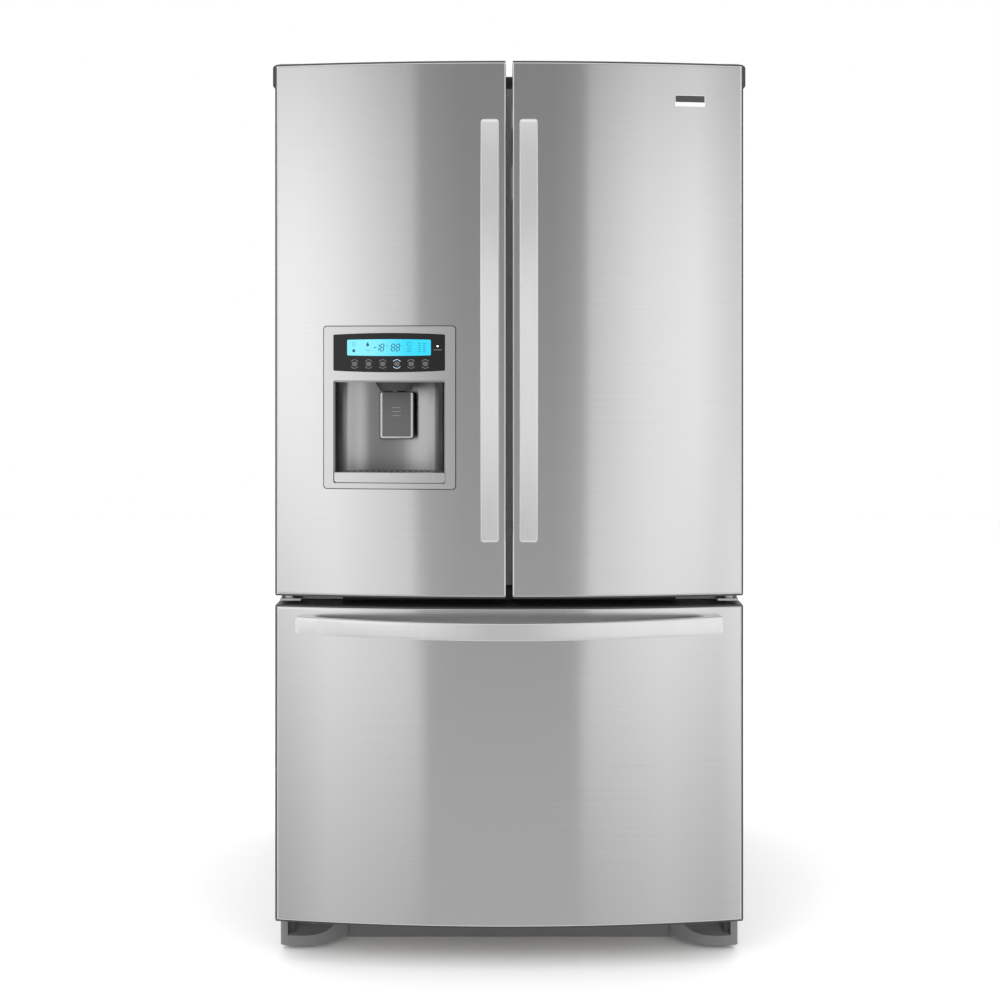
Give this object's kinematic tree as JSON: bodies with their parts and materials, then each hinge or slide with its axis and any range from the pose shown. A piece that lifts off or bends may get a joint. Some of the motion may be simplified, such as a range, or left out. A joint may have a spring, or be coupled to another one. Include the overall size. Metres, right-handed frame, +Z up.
{
  "type": "french door refrigerator",
  "caption": "Tall refrigerator with french doors over a freezer drawer, an in-door water and ice dispenser, bowed bar handles, shelves, crispers and door bins.",
  "frame": {"origin": "on the floor, under the middle of the bounding box", "axes": "+X to the right of someone facing the doors, +Y from the doors to the wall behind, +Z up"},
  "size_m": [0.908, 0.885, 1.762],
  "materials": {
    "stainless": "fine horizontal grain, satin",
    "handle_steel": "satin with brighter rounded sides",
    "case_paint": "fine texture, semi-matte",
    "zinc_sheet": "galvanised, semi-matte",
    "hinge_zinc": "zinc plated",
    "dark_plastic": "moulded, semi-matte",
    "grey_plastic": "moulded, fine texture",
    "white_plastic": "moulded, semi-gloss",
    "clear_plastic": "clear, glossy",
    "shelf_glass": "clear tempered, white edge trim",
    "silver_trim": "metallic silver paint, satin",
    "well_plastic": "metallic silver, satin",
    "panel_black": "gloss black overlay with a lit cyan display",
    "paddle_grey": "moulded, satin",
    "foam": "rigid foam",
    "seal_rubber": "soft, matte",
    "compressor_black": "black enamel",
    "condenser_fins": "dark coated fins"
  },
  "bodies": {
    "cabinet": {"left_side_panel": "case_paint", "right_side_panel": "case_paint", "top_panel": "case_paint", "back_panel": "zinc_sheet", "case_foam": "foam", "fridge_liner": "white_plastic", "freezer_liner": "white_plastic", "center_rail": "dark_plastic", "left_top_hinge": "hinge_zinc", "right_top_hinge": "hinge_zinc", "left_hinge_cover": "dark_plastic", "right_hinge_cover": "dark_plastic", "left_center_hinge": "hinge_zinc", "right_center_hinge": "hinge_zinc", "base_pan": "zinc_sheet", "base_grille": "grey_plastic", "rear_cover": "zinc_sheet", "compressor": "compressor_black", "condenser": "condenser_fins", "air_duct": "white_plastic", "upper_left_shelf": "shelf_glass", "upper_right_shelf": "shelf_glass", "lower_left_shelf": "shelf_glass", "lower_right_shelf": "shelf_glass", "crisper_cover": "shelf_glass"},
    "left_door": {"left_door_skin": "stainless", "left_door_liner": "white_plastic", "left_door_gasket": "seal_rubber", "left_door_handle": "handle_steel", "ice_compartment": "white_plastic", "left_door_bin": "clear_plastic", "dispenser_frame": "silver_trim", "dispenser_well": "well_plastic", "control_panel": "panel_black", "dispenser_spout": "dark_plastic"},
    "right_door": {"right_door_skin": "stainless", "right_door_liner": "white_plastic", "right_door_gasket": "seal_rubber", "right_door_handle": "handle_steel", "dairy_box": "clear_plastic", "right_middle_bin": "clear_plastic", "right_lower_bin": "clear_plastic"},
    "freezer_drawer": {"drawer_skin": "stainless", "drawer_liner": "white_plastic", "drawer_gasket": "seal_rubber", "drawer_handle": "handle_steel", "drawer_frame": "hinge_zinc", "freezer_basket": "white_plastic"},
    "mullion_flap": {"mullion_flap": "dark_plastic"},
    "dispenser_paddle": {"dispenser_paddle": "paddle_grey"},
    "dairy_lid": {"dairy_lid": "clear_plastic"},
    "middle_rail": {"middle_rail": "hinge_zinc"},
    "freezer_tray": {"freezer_tray": "clear_plastic"},
    "left_crisper": {"left_crisper": "clear_plastic"},
    "right_crisper": {"right_crisper": "clear_plastic"},
    "condenser_fan": {"condenser_fan": "dark_plastic"},
    "left_leveling_leg": {"left_leveling_leg": "hinge_zinc"},
    "right_leveling_leg": {"right_leveling_leg": "hinge_zinc"},
    "left_rear_roller": {"left_rear_roller": "dark_plastic"},
    "right_rear_roller": {"right_rear_roller": "dark_plastic"}
  },
  "joints": [
    {"name": "left_door_hinge", "type": "hinge", "parent": "cabinet", "child": "left_door", "pos_m": [-0.429, -0.3245, 1.2], "axis": [0, 0, -1], "range_deg": [0, 110]},
    {"name": "right_door_hinge", "type": "hinge", "parent": "cabinet", "child": "right_door", "pos_m": [0.429, -0.3245, 1.2], "axis": [0, 0, 1], "range_deg": [0, 110]},
    {"name": "drawer_slide", "type": "slide", "parent": "cabinet", "child": "freezer_drawer", "axis": [0, -1, 0], "range_m": [0, 0.38]},
    {"name": "middle_rail_slide", "type": "slide", "parent": "cabinet", "child": "middle_rail", "axis": [0, -1, 0], "range_m": [0, 0.19]},
    {"name": "freezer_tray_slide", "type": "slide", "parent": "freezer_drawer", "child": "freezer_tray", "axis": [0, 1, 0], "range_m": [0, 0.18]},
    {"name": "flap_hinge", "type": "hinge", "parent": "left_door", "child": "mullion_flap", "pos_m": [-0.044, -0.2625, 1.2], "axis": [0, 0, 1], "range_deg": [0, 80]},
    {"name": "paddle_hinge", "type": "hinge", "parent": "left_door", "child": "dispenser_paddle", "pos_m": [-0.222, -0.3025, 1.102], "axis": [1, 0, 0], "range_deg": [0, 9], "stiffness_Nm_per_rad": 0.6, "springref_deg": -5.73},
    {"name": "dairy_lid_hinge", "type": "hinge", "parent": "right_door", "child": "dairy_lid", "pos_m": [0.2125, -0.2045, 1.6425], "axis": [1, 0, 0], "range_deg": [0, 80]},
    {"name": "left_crisper_slide", "type": "slide", "parent": "cabinet", "child": "left_crisper", "axis": [0, -1, 0], "range_m": [0, 0.07]},
    {"name": "right_crisper_slide", "type": "slide", "parent": "cabinet", "child": "right_crisper", "axis": [0, -1, 0], "range_m": [0, 0.07]},
    {"name": "condenser_fan_spin", "type": "hinge", "parent": "cabinet", "child": "condenser_fan", "pos_m": [0.014, 0.3125, 0.138], "axis": [1, 0, 0], "continuous": true},
    {"name": "left_leg_turn", "type": "hinge", "parent": "cabinet", "child": "left_leveling_leg", "pos_m": [-0.4, -0.2095, 0.03], "axis": [0, 0, 1], "continuous": true},
    {"name": "right_leg_turn", "type": "hinge", "parent": "cabinet", "child": "right_leveling_leg", "pos_m": [0.4, -0.2095, 0.03], "axis": [0, 0, 1], "continuous": true},
    {"name": "left_roller_spin", "type": "hinge", "parent": "cabinet", "child": "left_rear_roller", "pos_m": [-0.382, 0.4025, 0.022], "axis": [1, 0, 0], "continuous": true},
    {"name": "right_roller_spin", "type": "hinge", "parent": "cabinet", "child": "right_rear_roller", "pos_m": [0.382, 0.4025, 0.022], "axis": [1, 0, 0], "continuous": true}
  ],
  "couplings": [
    {"joint": "flap_hinge", "follows": "left_door_hinge", "ratio": 0.727},
    {"joint": "middle_rail_slide", "follows": "drawer_slide", "ratio": 0.5}
  ]
}
